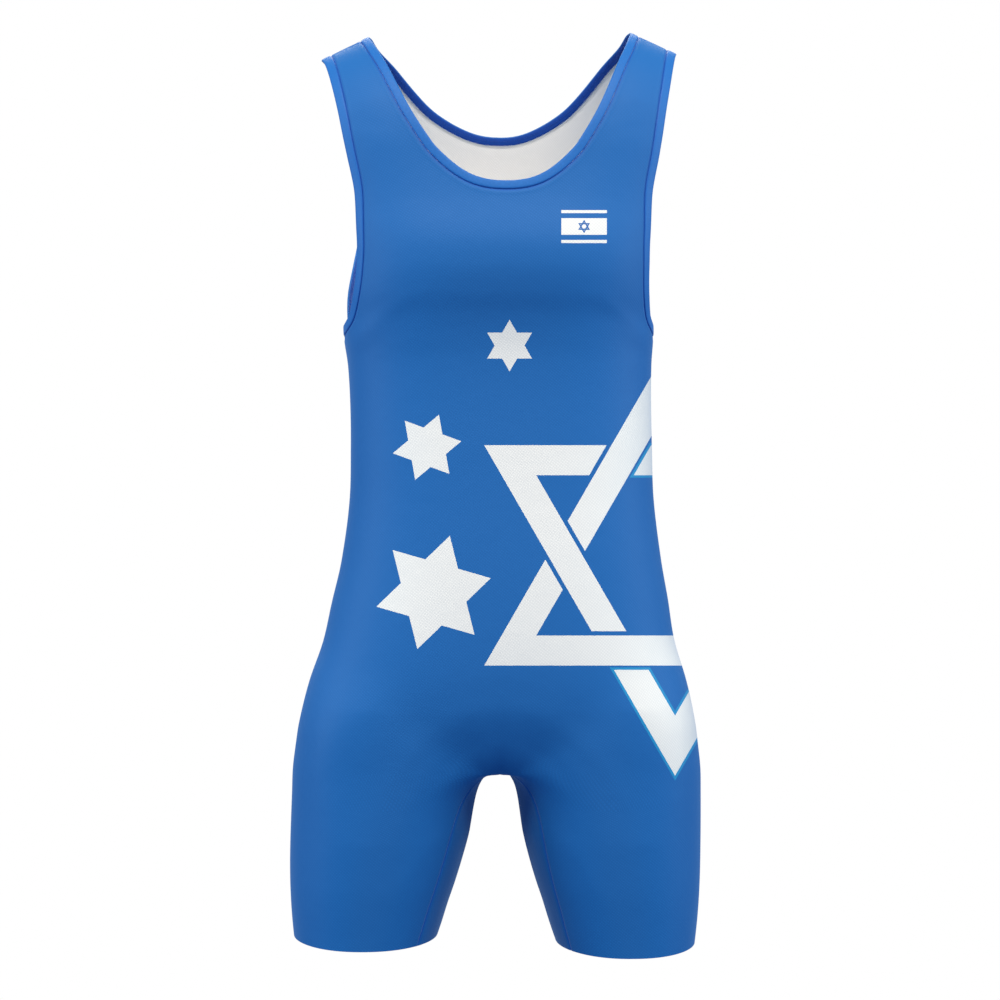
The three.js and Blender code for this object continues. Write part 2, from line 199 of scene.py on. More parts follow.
# How far above and below the crotch the folds between body and legs are rounded, and how often.
FORK_REACH = 60.0
FORK_ROUNDS = 240


# Curves and rings

def smooth(knots, values, s):
    """Values at s on a smooth curve through the values at the rising knots."""
    places = np.arange(len(knots))
    before, after = np.maximum(places - 1, 0), np.minimum(places + 1, len(knots) - 1)
    slopes = (values[after] - values[before]) / (knots[after] - knots[before])
    s = np.asarray(s, float)
    i = np.clip(np.searchsorted(knots, s) - 1, 0, len(knots) - 2)
    span = knots[i + 1] - knots[i]
    t = (s - knots[i]) / span
    u = 1 - t
    return (u * u * (1 + 2 * t) * values[i] + t * t * (1 + 2 * u) * values[i + 1]
            + t * u * u * span * slopes[i] - t * t * u * span * slopes[i + 1])


def ring_at(level, column):
    return smooth(BODY["level"], BODY[column], level)


def leg_at(level, column):
    return smooth(LEG["level"], LEG[column], level)


def sway_at(level):
    return smooth(SWAY["level"], SWAY["offset"], level)


def mix(a, b, t):
    return a + (b - a) * t


def ease(t):
    return t * t * (3 - 2 * t)


def power(value, exponent):
    return np.sign(value) * np.abs(value) ** exponent


def stops(count, near_start=(), near_end=()):
    """Shares from 0 to 1 in even steps, with extra ones close to an end."""
    extra = [*near_start, *(1 - np.array(near_end))]
    return np.unique(np.concatenate([np.linspace(0, 1, count + 1), extra]))


def seam_curve(turn, level):
    """A seam's knots, and its turn and level at a distance along it."""
    across = np.diff(turn) * TURN_LENGTH
    knots = np.concatenate([[0], np.cumsum(np.hypot(across, np.diff(level)))])
    return knots, lambda s: (smooth(knots, turn, s), smooth(knots, level, s))


def neck_seam(rows, shift):
    """A neckline from one shoulder seam (-1) to the other (1)."""
    turn = np.concatenate([-rows["turn"][:0:-1], rows["turn"]])
    level = np.concatenate([rows["level"][:0:-1], rows["level"]])
    knots, at = seam_curve(turn, level)

    def place(fraction):
        turn, level = at(knots[-1] / 2 * (1 + fraction))
        return turn + shift * (1 - fraction ** 2), level
    return place


front_neck = neck_seam(FRONT_NECK, 0)
back_neck = neck_seam(BACK_NECK, BACK_NECK_SHIFT)
armhole_knots, armhole_at = seam_curve(ARMHOLE["turn"], ARMHOLE["level"])
underarm_knot = armhole_knots[list(ARMHOLE["turn"]).index(90)]


def armhole(back, fraction):
    """The armhole seam from the underarm (0) to the shoulder seam (1), turned from that face."""
    end = armhole_knots[-1] if back else 0
    turn, level = armhole_at(mix(underarm_knot, end, fraction))
    return (180 - turn if back else turn), level


# The worn form

def roof_at(x):
    return ROOF_TOP + ROOF_TILT * x - ROOF_FALL * np.hypot(x, ROOF_ROUND)


def body_point(turn, level):
    """Points of the body at turns round it (0 front, 90 the wearer's left) and levels."""
    turn, level = np.broadcast_arrays(np.asarray(turn, float), np.asarray(level, float))
    mirrored = np.where(level > CREST, 2 * CREST - level, level)
    tip = np.maximum(level - SHOULDER_BASE, 0) / SHOULDER_REACH
    sine, cosine = np.sin(np.radians(turn)), np.cos(np.radians(turn))
    front = cosine * np.cos(tip) > 0
    depth = np.where(front, ring_at(mirrored, "front"), ring_at(mirrored, "back"))
    swell = 2 / ring_at(mirrored, "square")
    x = ring_at(mirrored, "half_width") * power(sine, swell)
    along = power(cosine, swell) * np.cos(tip)
    z = np.where(tip > 0, mix(SHOULDER_BASE, roof_at(x), np.sin(tip)), level)
    y = CREST_SETBACK * np.sin(tip) ** 2 - depth * along
    return np.stack([x + sway_at(mirrored), y, z], -1)


def leg_point(side, theta, level, opening):
    """Points of a leg: theta is 0 at the outer side, 90 in front and 180 at the inner thigh."""
    theta, level, opening = np.broadcast_arrays(theta, level, opening)
    sine, cosine = np.sin(np.radians(theta)), np.cos(np.radians(theta))
    flat = math.cos(math.radians(INSEAM_TURN["crotch"]))
    swell = 2 / LEG_SQUARE
    outer, inner = leg_at(level, "outer"), leg_at(level, "inner")
    closed = np.where(
        cosine > 0,
        mix(LEG_MIDDLE, outer, np.maximum(cosine, 0) ** swell),
        LEG_MIDDLE * (1 - np.clip(cosine / flat, 0, 1) ** swell))
    opened = (outer + inner) / 2 + (outer - inner) / 2 * power(cosine, swell)
    lift = power(sine, swell)
    depth = np.where(lift > 0, leg_at(level, "front"), leg_at(level, "back"))
    x = side * mix(closed, opened, opening) + sway_at(level)
    return np.stack([x, -depth * lift, level], -1)


def arch_at(theta):
    """0 as far as the front or the back of a thigh, and 1 at the inner leg seams."""
    from_side = np.degrees(np.arccos(np.cos(np.radians(theta))))
    return ease(np.clip((from_side - 90) / (INSEAM_TURN["crotch"] - 90), 0, 1))


def seat_point(side, back, share, gamma):
    """The body's lower end, drawn in between the legs as gamma turns from HIP to the crotch."""
    even = gamma / (math.pi / 2)
    theta = share * INSEAM_TURN["crotch"]
    arch = arch_at(theta)
    level = mix(HIP, CROTCH, mix(even, np.sin(gamma), arch))
    turn = (1 - share) * 90
    torso = body_point(side * (180 - turn if back else turn), level)
    thigh = leg_point(side, 360 - theta if back else theta, level, 0.0)
    blend = mix(ease(even), 1 - np.cos(gamma), arch)
    return mix(torso, thigh, blend[..., None])


def inseam_turn(side, level):
    fall = np.clip((CROTCH - level) / (CROTCH - HEM[side]), 0, 1)
    return mix(INSEAM_TURN["crotch"], INSEAM_TURN[side], fall)


def fork_point(side, theta, beta):
    """The inner thighs round over like an arch as beta turns from the crotch to THIGH."""
    even = beta / (math.pi / 2)
    arch = arch_at(theta)
    drop = mix(even, 1 - np.cos(beta), arch)
    return leg_point(side, theta, mix(CROTCH, THIGH, drop), mix(ease(even), np.sin(beta), arch))


# The cloth as grids: rows run down from the shoulder, columns from the side to the middle

def chest_grid(side, back, strap, neck):
    """Points of half a panel above the underarm, and the turn of each."""
    seam = back_neck if back else front_neck
    v = stops(STEPS["chest"], (), NEAR_SEAM[:2])[:, None]
    arm_turn, arm_level = armhole(back, v ** ROW_CROWDING)
    corner_turn, corner_level = seam(float(side))
    upright = 1 - (1 - v) ** COLUMN_BEND
    root_turn = mix(side * STRAP_ROOT, corner_turn, upright)
    root_level = mix(UNDERARM, corner_level, v)
    t = neck[None, 1:]
    neck_turn, neck_level = seam(side * (1 - t))
    turn = np.hstack([
        mix(side * arm_turn, root_turn, strap),
        mix(side * STRAP_ROOT * (1 - t), neck_turn, upright)])
    level = np.hstack([
        mix(arm_level, root_level, strap ** ROW_SAG),
        mix(UNDERARM, neck_level, v)])
    return body_point(180 - turn if back else turn, level)[::-1], turn[::-1], level[::-1]


def leg_rows(side, shares, start, end):
    """Points of one leg between two places on its ring, each a function of the level."""
    beta = np.linspace(0, math.pi / 2, STEPS["fork"] + 1)[:, None]
    level = mix(CROTCH, THIGH, beta / (math.pi / 2))
    fork = fork_point(side, mix(start(level), end(level), shares), beta)
    v = stops(STEPS["leg"], (), NEAR_HEM)[1:, None]
    level = mix(THIGH, HEM[side], v)
    theta = mix(start(level), end(level), shares)
    hem = HEM[side] - HEM_DIP * np.maximum(np.sin(np.radians(theta)), 0) ** 2
    tube = leg_point(side, theta, mix(THIGH, hem, v), 1.0)
    return np.concatenate([fork, tube])


def run_lengths(points):
    """Distances summed along each row of a grid of points."""
    steps = np.linalg.norm(np.diff(points, axis=1), axis=-1)
    return np.concatenate([np.zeros((len(steps), 1)), np.cumsum(steps, 1)], 1)


def panel_grids(side, back):
    """Grids of half a panel as points and cloth coordinates, both in millimetres."""
    root = 1 - STRAP_ROOT / 90
    strap = stops(STEPS["strap"], NEAR_SEAM)
    neck = stops(STEPS["neck"], (), NEAR_SEAM)
    shares = np.concatenate([strap * root, mix(root, 1, neck[1:])])[None, :]
    chest, chest_turn, chest_level = chest_grid(side, back, strap, neck)
    turn = side * (1 - shares) * 90
    level = np.linspace(UNDERARM, HIP, STEPS["waist"] + 1)[1:, None]
    waist = body_point(180 - turn if back else turn, level)
    gamma = np.linspace(0, math.pi / 2, STEPS["seat"] + 1)[1:, None]
    seat = seat_point(side, back, shares, gamma)

    def from_side(level):
        return 360.0 if back else 0.0

    def to_inseam(level):
        return 360 - INSEAM_TURN["crotch"] if back else inseam_turn(side, level)
    legs = leg_rows(side, shares, from_side, to_inseam)
    points = np.concatenate([chest, waist, seat, legs[1:]])
    # The knit lies straight over the front of the body and the thighs, and runs round the sides.
    lengths = run_lengths(points[:, ::-1])[:, ::-1]
    from_middle = side * (points[..., 0] - sway_at(points[..., 2]))
    straight = np.searchsorted(shares[0], 90 / INSEAM_TURN["crotch"])
    across = lengths + (from_middle - lengths)[:, straight:straight + 1]
    across[:, straight:] = from_middle[:, straight:]
    chest_rows = len(chest)
    order = np.argsort(np.abs(turn[0]))
    across[:chest_rows] = np.interp(
        np.abs(chest_turn), np.abs(turn[0])[order], across[chest_rows - 1][order])
    along = points[..., 2].copy()
    along[:chest_rows] = chest_level
    grids = [(points, np.stack([side * across, along], -1))]
    if back:
        inner = leg_rows(side, stops(STEPS["gusset"], (), NEAR_SEAM)[None, :],
                         to_inseam, lambda level: inseam_turn(side, level))
        grids.append((inner, np.stack([-side * run_lengths(inner), inner[..., 2]], -1)))
    return grids


def grid_faces(shape, flip, first):
    """Quads of a grid whose points are numbered from first."""
    index = first + np.arange(shape[0] * shape[1]).reshape(shape[:2])
    quads = np.stack([index[:-1, :-1], index[1:, :-1], index[1:, 1:], index[:-1, 1:]], -1)
    quads = quads.reshape(-1, 4)
    return quads[:, ::-1] if flip else quads


class Skin:
    """The outer face of both panels: points shared along the seams, faces and coordinates."""

    def __init__(self):
        points, cloth, self.faces = [], [], {}
        first = 0
        for back in (False, True):
            quads = []
            for side in (-1, 1):
                for grid, coordinates in panel_grids(side, back):
                    quads.append(grid_faces(grid.shape, (side > 0) != back, first))
                    points.append(grid.reshape(-1, 3))
                    cloth.append(coordinates.reshape(-1, 2))
                    first += len(points[-1])
            self.faces[back] = np.concatenate(quads)
        points = np.concatenate(points)
        self.cloth = np.concatenate(cloth)
        keys = np.round(points * 1000).astype(np.int64)
        _, pick, self.weld = np.unique(keys, axis=0, return_index=True, return_inverse=True)
        self.weld = self.weld.reshape(-1)
        self.points = points[pick]

    def welded(self, back):
        return self.weld[self.faces[back]]

    def normals(self):
        return vertex_normals(self.points, np.concatenate([self.welded(False), self.welded(True)]))


def vertex_normals(points, quads):
    corners = points[quads]
    face = np.cross(corners[:, 2] - corners[:, 0], corners[:, 3] - corners[:, 1])
    normals = np.zeros_like(points)
    for k in range(4):
        np.add.at(normals, quads[:, k], face)
    return normals / np.maximum(np.linalg.norm(normals, axis=1, keepdims=True), 1e-12)


def rim_edges(quads):
    """Boundary edges of quads, in their direction of travel."""
    edges = np.concatenate([quads[:, [k, (k + 1) % 4]] for k in range(4)])
    edges = edges[edges[:, 0] != edges[:, 1]]
    size = int(quads.max()) + 1
    forward, backward = edges @ [size, 1], edges @ [1, size]
    return edges[~np.isin(forward, backward)]


# A sewn seam in section, in millimetres from its line: the groove that the thread pulls in, the
# swell of the cloth beside it, and how far the groove's painted shade reaches.
GROOVE_WIDTH = 1.3
SWELL_PLACE, SWELL_WIDTH, SWELL_SHARE = 3.4, 1.5, 0.3
SEAM_SHADE = 1.3

# Soft relief of the worn cloth. Face is -1 in front and 1 at the back; x and z are its middle,
# heading turns its run from +X, and length, width and depth are half sizes and height.
CREASES = (
    # face, x, z, heading, length, width, depth
    (-1, -118, -62, 8, 26, 7, 0.5),
    (-1, -122, -84, -4, 22, 6, -0.4),
    (-1, 121, -60, -8, 26, 7, 0.5),
    (-1, 126, -86, 6, 22, 6, -0.4),
    (-1, -112, -262, 38, 34, 8, 0.7),
    (-1, -120, -286, 24, 28, 7, -0.5),
    (-1, 116, -262, -38, 34, 8, 0.7),
    (-1, 122, -288, -24, 28, 7, -0.5),
    (-1, -60, -640, 34, 60, 12, 0.8),
    (-1, -46, -668, 44, 42, 9, -0.6),
    (-1, 58, -640, -34, 60, 12, 0.8),
    (-1, 44, -668, -44, 42, 9, -0.6),
    (-1, -86, -772, 62, 34, 9, 0.5),
    (-1, 78, -770, -60, 34, 9, 0.5),
    (1, -70, -420, 6, 60, 11, 0.8),
    (1, 62, -446, -5, 64, 12, -0.7),
    (1, 12, -470, 3, 70, 12, 0.7),
    (1, -104, -250, -36, 36, 9, 0.7),
    (1, 106, -252, 36, 36, 9, 0.7),
    (1, -58, -648, 32, 46, 11, -0.8),
    (1, 56, -650, -32, 46, 11, -0.8),
)


def crease_height(points, normals):
    """How far the soft creases lift each point off the worn form."""
    height = np.zeros(len(points))
    for face, x, z, heading, length, width, depth in CREASES:
        cosine, sine = math.cos(math.radians(heading)), math.sin(math.radians(heading))
        along = (points[:, 0] - x) * cosine + (points[:, 2] - z) * sine
        across = (points[:, 2] - z) * cosine - (points[:, 0] - x) * sine
        bend = across + 0.004 * along ** 2
        facing = np.clip(face * normals[:, 1], 0, 1)
        height += facing * depth * np.exp(-(along / length) ** 2 - (bend / width) ** 2)
    return height


def nearest_distances(points, targets, reach):
    """Distance from each point to the nearest target, or reach where none is closer."""
    tree = KDTree(len(targets))
    for i, target in enumerate(targets):
        tree.insert(target, i)
    tree.balance()
    return np.array([min(tree.find(point)[2], reach) for point in points])


def seam_height(distance, sizes):
    """A sewn seam: the cloth dips into it and swells a little beside it."""
    groove = np.exp(-(distance / GROOVE_WIDTH) ** 2)
    swell = np.exp(-((distance - SWELL_PLACE) / SWELL_WIDTH) ** 2)
    return sizes.seam_depth / MM * (SWELL_SHARE * swell - groove)


def pucker_height(points, seam_points, distance, sizes):
    """Short ripples that the thread draws in across the inner leg seams."""
    inner = (points[:, 2] < CROTCH) & (np.abs(points[:, 0]) < 140) & (points[:, 1] < 0)
    ripple = np.sin(2 * math.pi * points[:, 2] / (sizes.pucker_pitch / MM))
    fade = np.exp(-(distance / 6) ** 2) * np.clip((CROTCH - points[:, 2]) / 25, 0, 1)
    return np.where(inner, sizes.pucker_depth / MM * ripple * fade, 0)


def soften_fork(points, quads):
    """Rounds off the folds where the body parts into the legs."""
    aside = np.abs(points[:, 0] - sway_at(CROTCH))
    share = (np.clip(1 - np.abs(points[:, 2] - CROTCH) / FORK_REACH, 0, 1)
             * np.clip(aside / 20 - 0.7, 0, 1) * np.clip(4.2 - aside / 40, 0, 1)) / 2
    used = quads[(share[quads] > 0).any(1)]
    ways = np.concatenate([used[:, [k, (k + 1) % 4]] for k in range(4)])
    ways = np.unique(np.concatenate([ways, ways[:, ::-1]]), axis=0)
    ways = ways[ways[:, 0] != ways[:, 1]]
    count = np.maximum(np.bincount(ways[:, 0], minlength=len(points)), 1)
    for _ in range(FORK_ROUNDS):
        total = np.stack([np.bincount(ways[:, 0], points[ways[:, 1], axis], len(points))
                          for axis in range(3)], -1)
        points = points + share[:, None] * (total / count[:, None] - points)
    return points


def relief_skin(sizes):
    """The skin of both panels with its seams, puckers and creases."""
    skin = Skin()
    quads = np.concatenate([skin.welded(False), skin.welded(True)])
    skin.points = soften_fork(skin.points, quads)
    normals = skin.normals()
    rims = skin.points[np.concatenate([rim_edges(skin.welded(back)) for back in (False, True)])]
    places = np.concatenate([mix(rims[:, 0], rims[:, 1], share) for share in (0, 0.25, 0.5, 0.75)])
    hem = np.where(places[:, 0] < 0, HEM[-1], HEM[1])
    seams = places[places[:, 2] > hem + 0.5]
    distance = nearest_distances(skin.points, seams, 12.0)
    height = seam_height(distance, sizes) + pucker_height(skin.points, seams, distance, sizes)
    height += sizes.crease_scale * crease_height(skin.points, normals)
    skin.points = skin.points + normals * height[:, None]
    # The seam share: painted shade of the seam groove, strongest on the seam line.
    skin.seam = np.exp(-(distance / SEAM_SHADE) ** 2)
    return skin


def cloth_wall(skin, back, sizes):
    """Points and faces of one panel with its thickness: outer faces, inner faces and the rim."""
    quads = skin.welded(back)
    used, local = np.unique(quads, return_inverse=True)
    outer_quads = local.reshape(-1, 4)
    points, normals = skin.points[used], skin.normals()[used]
    rim = rim_edges(outer_quads)
    after = dict(rim)
    before = {b: a for a, b in rim}
    outer = points.copy()
    for i, following in after.items():
        run = points[following] - points[before[i]]
        inward = np.cross(normals[i], run)
        outer[i] += inward / np.linalg.norm(inward) * sizes.seam_gap / MM / 2
    count = len(points)
    inner = outer - normals * sizes.cloth / MM
    walls = np.stack([rim[:, 1], rim[:, 0], rim[:, 0] + count, rim[:, 1] + count], -1)
    faces = np.concatenate([outer_quads, outer_quads[:, ::-1] + count, walls])
    seam = np.concatenate([skin.seam[used], np.zeros(count)])
    return np.concatenate([outer, inner]), faces, len(outer_quads), seam


def keep_faces(faces):
    """Faces as lists of corner numbers without repeats, and the corners that were kept."""
    lists, kept = [], []
    for row in faces.tolist():
        corners = [k for k in range(len(row)) if row[k] != row[k - 1]]
        if len(corners) > 2:
            lists.append([row[k] for k in corners])
        kept.append(corners if len(corners) > 2 else [])
    return lists, kept


def new_piece(name, points, faces, cloth, seam, slots, materials, replaced, slot):
    """A piece from points in millimetres, quads, the cloth coordinates and slots of its faces."""
    lists, kept = keep_faces(faces)
    mesh = bpy.data.meshes.new(name)
    mesh.from_pydata((points * MM).tolist(), [], lists)
    whole = [i for i, corners in enumerate(kept) if corners]
    uv = mesh.uv_layers.new(name="cloth")
    flat = np.concatenate([cloth[i][kept[i]] for i in whole]) * MM
    uv.data.foreach_set("uv", flat.ravel().astype(np.float32))
    # The seam share, which the materials use for painted shade along the seams
    mesh.attributes.new("seam", "FLOAT", "POINT").data.foreach_set("value", seam.astype(np.float32))
    mesh.polygons.foreach_set("material_index", np.asarray(slots, np.int32)[whole])
    mesh.polygons.foreach_set("use_smooth", np.ones(len(whole), bool))
    for material in materials:
        mesh.materials.append(material)
    mesh.set_sharp_from_angle(angle=math.radians(48))
    mesh.validate()
    piece = bpy.data.objects.new(name, mesh)
    bpy.context.scene.collection.objects.link(piece)
    if replaced:
        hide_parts(replaced)
    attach(piece, "root")
    return piece


# Folded bands

# The painted shade of the seam groove reaches over the bands as well.
BAND_SHADE = 0.6  # how far the shade of the seam's groove reaches over a band, in millimetres
# The inner half of a band is darker, as painted shade.
BAND_EDGE_INDEX = 10  # the place in the section where the darker inner half begins


def band_section(width):
    """A folded band's section: how far out from the seam, and how high over the cloth."""
    rise, low = 0.5, -1.55
    edge = (
        (0.05, -0.75), (0.25, -0.1), (0.7, 0.3), (1.5, rise), (width * 0.35, rise + 0.06),
        (width * 0.7, rise + 0.03), (width - 0.9, rise - 0.08), (width - 0.25, rise - 0.45),
        (width, rise - 1.0), (width - 0.25, low + 0.45), (width - 0.9, low + 0.08),
        (width * 0.6, low), (1.2, low + 0.05), (0.4, low + 0.25), (0.05, -1.1))
    return np.array(edge)


def seam_frames(turns, levels, closed):
    """Places, outward ways, normals and runs along a seam with the opening on its left."""
    step = 0.02
    places = body_point(turns, levels)
    down = body_point(turns, levels - step) - body_point(turns, levels + step)
    round_way = body_point(turns + step, levels) - body_point(turns - step, levels)
    normals = np.cross(down, round_way)
    normals /= np.linalg.norm(normals, axis=1, keepdims=True)
    if closed:
        run = np.roll(places, -1, 0) - np.roll(places, 1, 0)
    else:
        run = np.gradient(places, axis=0)
    run /= np.linalg.norm(run, axis=1, keepdims=True)
    outward = np.cross(normals, run)
    return places, outward / np.linalg.norm(outward, axis=1, keepdims=True), normals, run


def band_mesh(frames, width, closed):
    """A band over the frames of its seam: points, quads, cloth coordinates, seam shares, slots."""
    places, outward, normals, run = frames
    section = band_section(width)
    size, count = len(section), len(places)
    if not closed:
        places = places.copy()
        places[0] += run[0] * 0.06
        places[-1] -= run[-1] * 0.06
    points = (places[:, None] + outward[:, None] * section[None, :, :1]
              + normals[:, None] * section[None, :, 1:])
    i, k = np.meshgrid(np.arange(count if closed else count - 1), np.arange(size), indexing="ij")
    ahead, beside = (i + 1) % count, (k + 1) % size
    faces = np.stack([i * size + k, i * size + beside, ahead * size + beside, ahead * size + k], -1)
    lengths = np.concatenate([[0], np.cumsum(np.linalg.norm(np.diff(places, axis=0), axis=1))])
    girth = np.concatenate([[0], np.cumsum(np.linalg.norm(np.diff(section, axis=0), axis=1))])
    step = lengths[1]
    cloth = np.stack([
        np.stack([lengths[i] + step * far, girth[k] + (girth[1] if near else 0)], -1)
        for far, near in ((0, 0), (0, 1), (1, 1), (1, 0))], -2)
    # Painted shade of the seam groove, strongest where the band meets its seam
    seam = np.broadcast_to(np.exp(-(section[:, 0] / BAND_SHADE) ** 2), (count, size))
    # Slot 1, the inner half, takes the darker colour as painted shade
    faces, cloth, slots = faces.reshape(-1, 4), cloth.reshape(-1, 4, 2), k >= BAND_EDGE_INDEX
    if not closed:
        caps = end_caps(size, (count - 1) * size)
        faces = np.concatenate([faces, caps])
        cloth = np.concatenate([cloth, np.zeros((len(caps), 4, 2))])
        slots = np.concatenate([slots.ravel(), np.zeros(len(caps))])
    return points.reshape(-1, 3), faces, cloth, seam.ravel(), slots.ravel()


def end_caps(size, last):
    """Fans of quads and triangles over both ends of an open band; last is its end's first point."""
    caps = []
    for start, turned in ((0, False), (last, True)):
        for k in range(1, size - 2, 2):
            cap = [start, start + k, start + k + 1, start + k + 2]
            caps.append(cap[::-1] if turned else cap)
        if size % 2 == 1:
            cap = [start, start + size - 2, start + size - 1, start]
            caps.append(cap[::-1] if turned else cap)
    return np.array(caps)


def armhole_stations(side, count):
    """Turns and levels all round an armhole, with the opening on the left of the way."""
    share = np.linspace(0, 1, count + 1)
    front_turn, front_level = armhole(False, share[::-1])
    back_turn, back_level = armhole(True, share[1:-1])
    turns = side * np.concatenate([front_turn, 180 - back_turn])
    levels = np.concatenate([front_level, back_level])
    return (turns, levels) if side > 0 else (turns[::-1], levels[::-1])


def neck_stations(back, count):
    """Turns and levels along a neckline from one shoulder seam to the other."""
    fraction = np.linspace(-1, 1, count + 1)
    if not back:
        return front_neck(fraction)
    turn, level = back_neck(-fraction)
    return 180 - turn, level


# Stitches

def add_node(tree, kind, links=None, output=None, **settings):
    """Adds a node with its settings; links gives each input a value or another node's output.
    Returns the asked-for output, or the node."""
    made = tree.nodes.new(kind)
    for key, value in settings.items():
        setattr(made, key, value)
    for key, value in (links or {}).items():
        if isinstance(value, bpy.types.NodeSocket):
            tree.links.new(value, made.inputs[key])
        else:
            made.inputs[key].default_value = value
    return made if output is None else made.outputs[output]


def stitch_tree(material):
    """Geometry nodes that lay short thread stitches along curves."""
    group = bpy.data.node_groups.new("thread stitches", "GeometryNodeTree")
    group.interface.new_socket("Geometry", in_out="INPUT", socket_type="NodeSocketGeometry")
    for name in ("Pitch", "Length", "Thickness"):
        group.interface.new_socket(name, in_out="INPUT", socket_type="NodeSocketFloat")
    group.interface.new_socket("Geometry", in_out="OUTPUT", socket_type="NodeSocketGeometry")
    start = add_node(group, "NodeGroupInput").outputs
    points = add_node(group, "GeometryNodeCurveToPoints", {
        "Curve": start["Geometry"], "Length": start["Pitch"]}, mode="LENGTH").outputs
    thread = add_node(group, "GeometryNodeMeshIcoSphere", {
        "Radius": 0.5, "Subdivisions": 1}, "Mesh")
    size = add_node(group, "ShaderNodeCombineXYZ", {
        "X": start["Thickness"], "Y": start["Thickness"], "Z": start["Length"]}, "Vector")
    placed = add_node(group, "GeometryNodeInstanceOnPoints", {
        "Points": points["Points"], "Instance": thread, "Rotation": points["Rotation"],
        "Scale": size}, "Instances")
    real = add_node(group, "GeometryNodeRealizeInstances", {"Geometry": placed}, "Geometry")
    dressed = add_node(group, "GeometryNodeSetMaterial", {
        "Geometry": real, "Material": material}, "Geometry")
    add_node(group, "NodeGroupOutput", {"Geometry": dressed})
    return group


def stitch_piece(name, rows, material, sizes):
    """One piece with rows of stitches, each row a list of points in millimetres."""
    curve = bpy.data.curves.new(name + "_path", "CURVE")
    curve.dimensions = "3D"
    for points, closed in rows:
        spline = curve.splines.new("POLY")
        spline.points.add(len(points) - 1)
        flat = np.hstack([points * MM, np.ones((len(points), 1))])
        spline.points.foreach_set("co", flat.ravel())
        spline.use_cyclic_u = closed
    path = bpy.data.objects.new(name + "_path", curve)
    bpy.context.scene.collection.objects.link(path)
    group = stitch_tree(material)
    modifier = path.modifiers.new("stitches", "NODES")
    modifier.node_group = group
    wanted = {"Pitch": sizes.stitch_pitch, "Length": sizes.stitch_length,
              "Thickness": sizes.stitch_thickness}
    for item in group.interface.items_tree:
        if item.in_out == "INPUT" and item.name in wanted:
            modifier[item.identifier] = wanted[item.name]
    graph = bpy.context.evaluated_depsgraph_get()
    graph.update()
    mesh = bpy.data.meshes.new_from_object(path.evaluated_get(graph))
    mesh.name = name
    bpy.data.objects.remove(path)
    bpy.data.curves.remove(curve)
    if not mesh.materials:
        mesh.materials.append(material)
    mesh.polygons.foreach_set("use_smooth", np.ones(len(mesh.polygons), bool))
    piece = bpy.data.objects.new(name, mesh)
    bpy.context.scene.collection.objects.link(piece)
    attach(piece, "root")
    return piece


# Finishes

def linear(code):
    """The linear colour of an sRGB hex code, with full alpha."""
    values = [int(code[i:i + 2], 16) / 255 for i in (1, 3, 5)]
    return (*(v / 12.92 if v <= 0.04045 else ((v + 0.055) / 1.055) ** 2.4 for v in values), 1.0)


# The colour inputs and the colour output of a mix node, which share their names with others.
MIX_FIRST, MIX_SECOND, MIX_RESULT = 6, 7, 2


def new_material(name):
    material = bpy.data.materials.new(name)
    material.use_nodes = True
    material.node_tree.nodes.clear()
    return material, material.node_tree


# The print is laid on the front as it is seen from straight ahead, PRINT_DISTANCE away. Its sizes
# are millimetres across and up on the plane through the shoulders.
PRINT_DISTANCE = 2150.0
PRINT_TURN = -2.5
PRINT_HEIGHT = -429.0

STARS = (
    # middle, point radius, turn clockwise
    ((10.6, -282.3), 24.6, 0),
    ((-67.8, -378.9), 33.0, 20),
    ((-61.6, -516.8), 56.0, 16),
)
HEXAGRAM = {"middle": (167.8, -481.6), "radius": 209.3, "band": 28.5, "gap": 4.1,
            "under_top": -429.0, "above_base": -533.0, "below_base": -586.0, "keyline": 2.3,
            "right_part": 122.0}
FLAG = {"middle": (81.4, -169.2), "half_width": 21.6, "block": (-169.15, 7.9),
        "stripes": ((-155.0, 1.4), (-183.4, 1.5)), "star_radius": 6.5, "star_line": 1.25}


def triangle_reach(tree, place, middle, turn):
    """How far a point lies from a triangle's middle towards its nearest side, and each way."""
    ways = []
    for k in range(3):
        angle = math.radians(turn + 120 * k)
        x, z = math.sin(angle), math.cos(angle)
        offset = -(x * middle[0] + z * middle[1]) * MM
        ways.append(add_node(tree, "ShaderNodeVectorMath", {0: place, 1: (x, z, offset)}, "Value",
                             operation="DOT_PRODUCT"))
    return either(tree, *ways), ways


def both(tree, *masks):
    """Where all of the masks are."""
    made = masks[0]
    for mask in masks[1:]:
        made = add_node(tree, "ShaderNodeMath", {0: made, 1: mask}, 0, operation="MULTIPLY")
    return made


def either(tree, *masks):
    """Where any of the masks is, or the greatest of some values."""
    made = masks[0]
    for mask in masks[1:]:
        made = add_node(tree, "ShaderNodeMath", {0: made, 1: mask}, 0, operation="MAXIMUM")
    return made


def outside(tree, mask):
    return add_node(tree, "ShaderNodeMath", {0: 1.0, 1: mask}, 0, operation="SUBTRACT")


def within(tree, value, middle, half):
    """Where a value in metres is no more than half, in millimetres, from the middle."""
    return add_node(tree, "ShaderNodeMath", {0: value, 1: middle * MM, 2: half * MM}, 0,
                    operation="COMPARE")


def beyond(tree, value, limit):
    """Where a value in metres is greater than the limit in millimetres."""
    return add_node(tree, "ShaderNodeMath", {0: value, 1: limit * MM}, 0, operation="GREATER_THAN")


